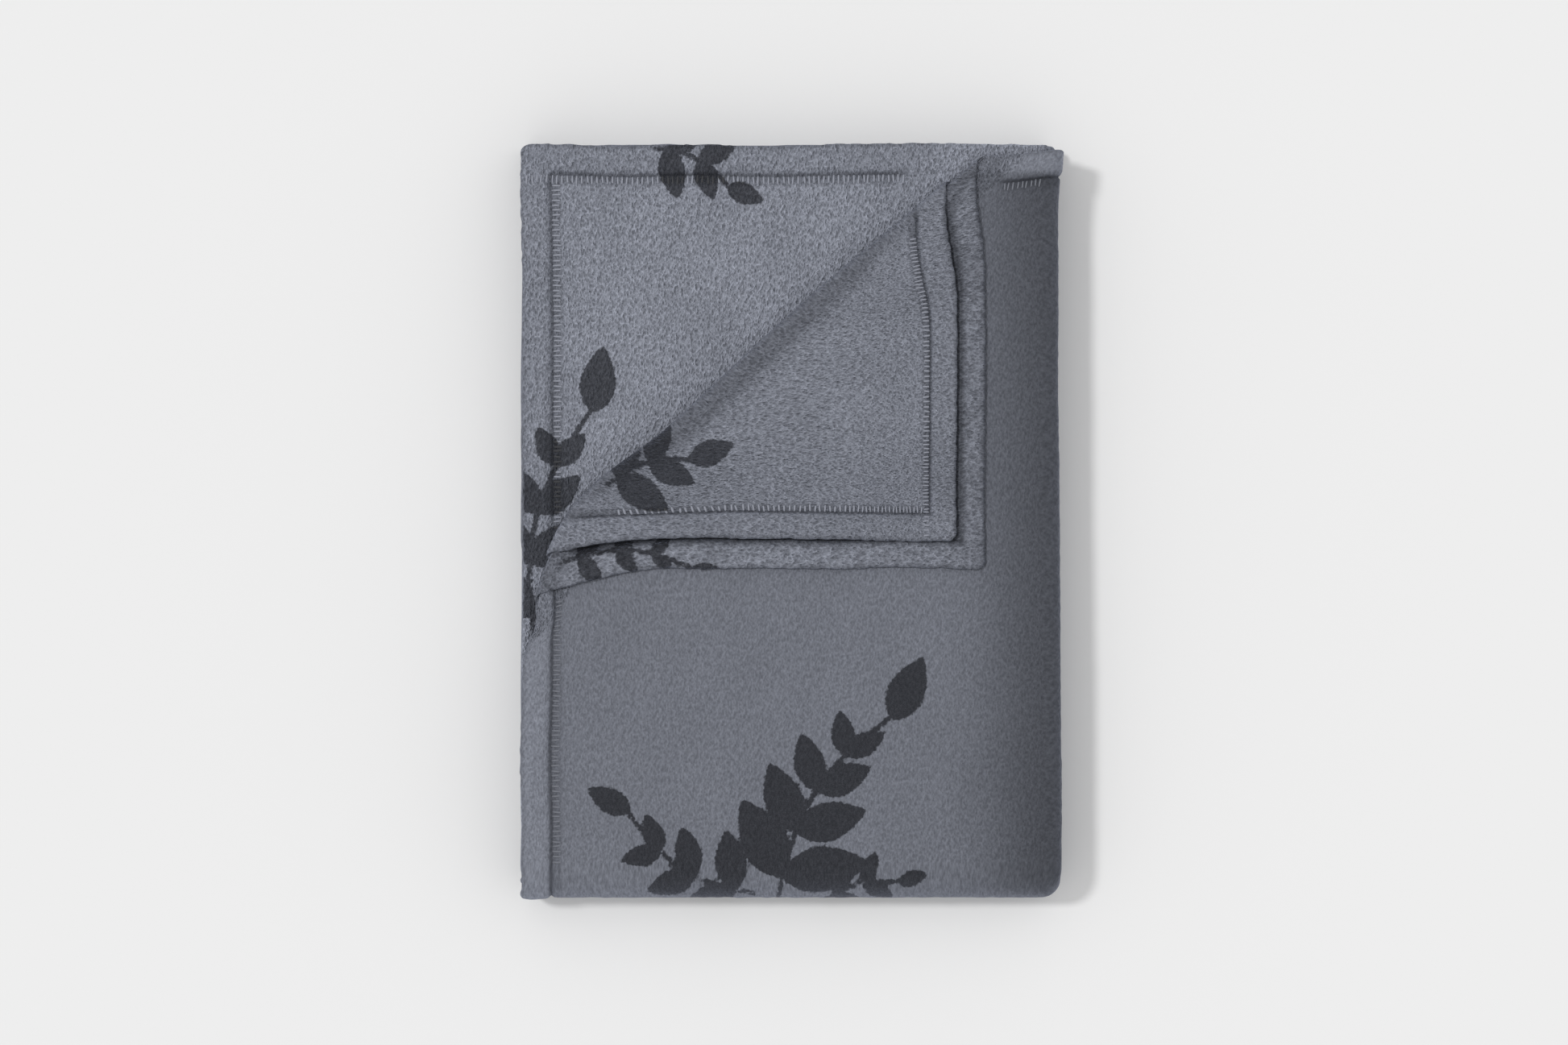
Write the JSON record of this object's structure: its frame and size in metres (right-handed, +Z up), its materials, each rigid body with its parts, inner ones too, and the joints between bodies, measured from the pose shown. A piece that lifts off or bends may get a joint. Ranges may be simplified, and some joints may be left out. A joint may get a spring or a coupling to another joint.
{
  "type": "folded throw blanket",
  "caption": "Plush flannel fleece throw folded into a flat rectangular pack, with the loose top corner turned over on a diagonal crest.",
  "frame": {"origin": "on the surface it rests on, under the middle of the pack's bounding box", "axes": "+Z up through the plies, +Y from the front bend to the back hems, +X from the left hems to the right bend"},
  "size_m": [0.322, 0.451, 0.0507],
  "materials": {
    "flannel_fleece": "matt grey-blue plush pile with a charcoal printed leaf motif",
    "hem_thread": "matt spun polyester thread"
  },
  "bodies": {
    "lower_half": {"leaf_09": "flannel_fleece", "leaf_10": "flannel_fleece", "leaf_11": "flannel_fleece", "leaf_12": "flannel_fleece", "leaf_13": "flannel_fleece", "leaf_14": "flannel_fleece", "leaf_15": "flannel_fleece", "leaf_16": "flannel_fleece"},
    "upper_half": {"leaf_01": "flannel_fleece", "leaf_02": "flannel_fleece", "leaf_03": "flannel_fleece", "leaf_04": "flannel_fleece", "leaf_05": "flannel_fleece", "leaf_06": "flannel_fleece", "leaf_07": "flannel_fleece", "leaf_08": "flannel_fleece", "exposed_back_stitching": "hem_thread", "exposed_left_stitching": "hem_thread", "top_left_stitching": "hem_thread", "top_back_stitching": "hem_thread"},
    "turned_corner": {"turned_corner_lower_ply": "flannel_fleece", "turned_corner_upper_ply": "flannel_fleece", "turned_right_stitching": "hem_thread", "turned_front_stitching": "hem_thread"}
  },
  "joints": [
    {"name": "main_fold", "type": "hinge", "parent": "lower_half", "child": "upper_half", "pos_m": [0, -0.2255, 0.02225], "axis": [1, 0, 0], "range_deg": [0, 175]},
    {"name": "corner_fold", "type": "hinge", "parent": "upper_half", "child": "turned_corner", "pos_m": [-0.161, -0.0395, 0.04465], "axis": [-0.7071, -0.7071, 0], "range_deg": [0, 175]}
  ]
}
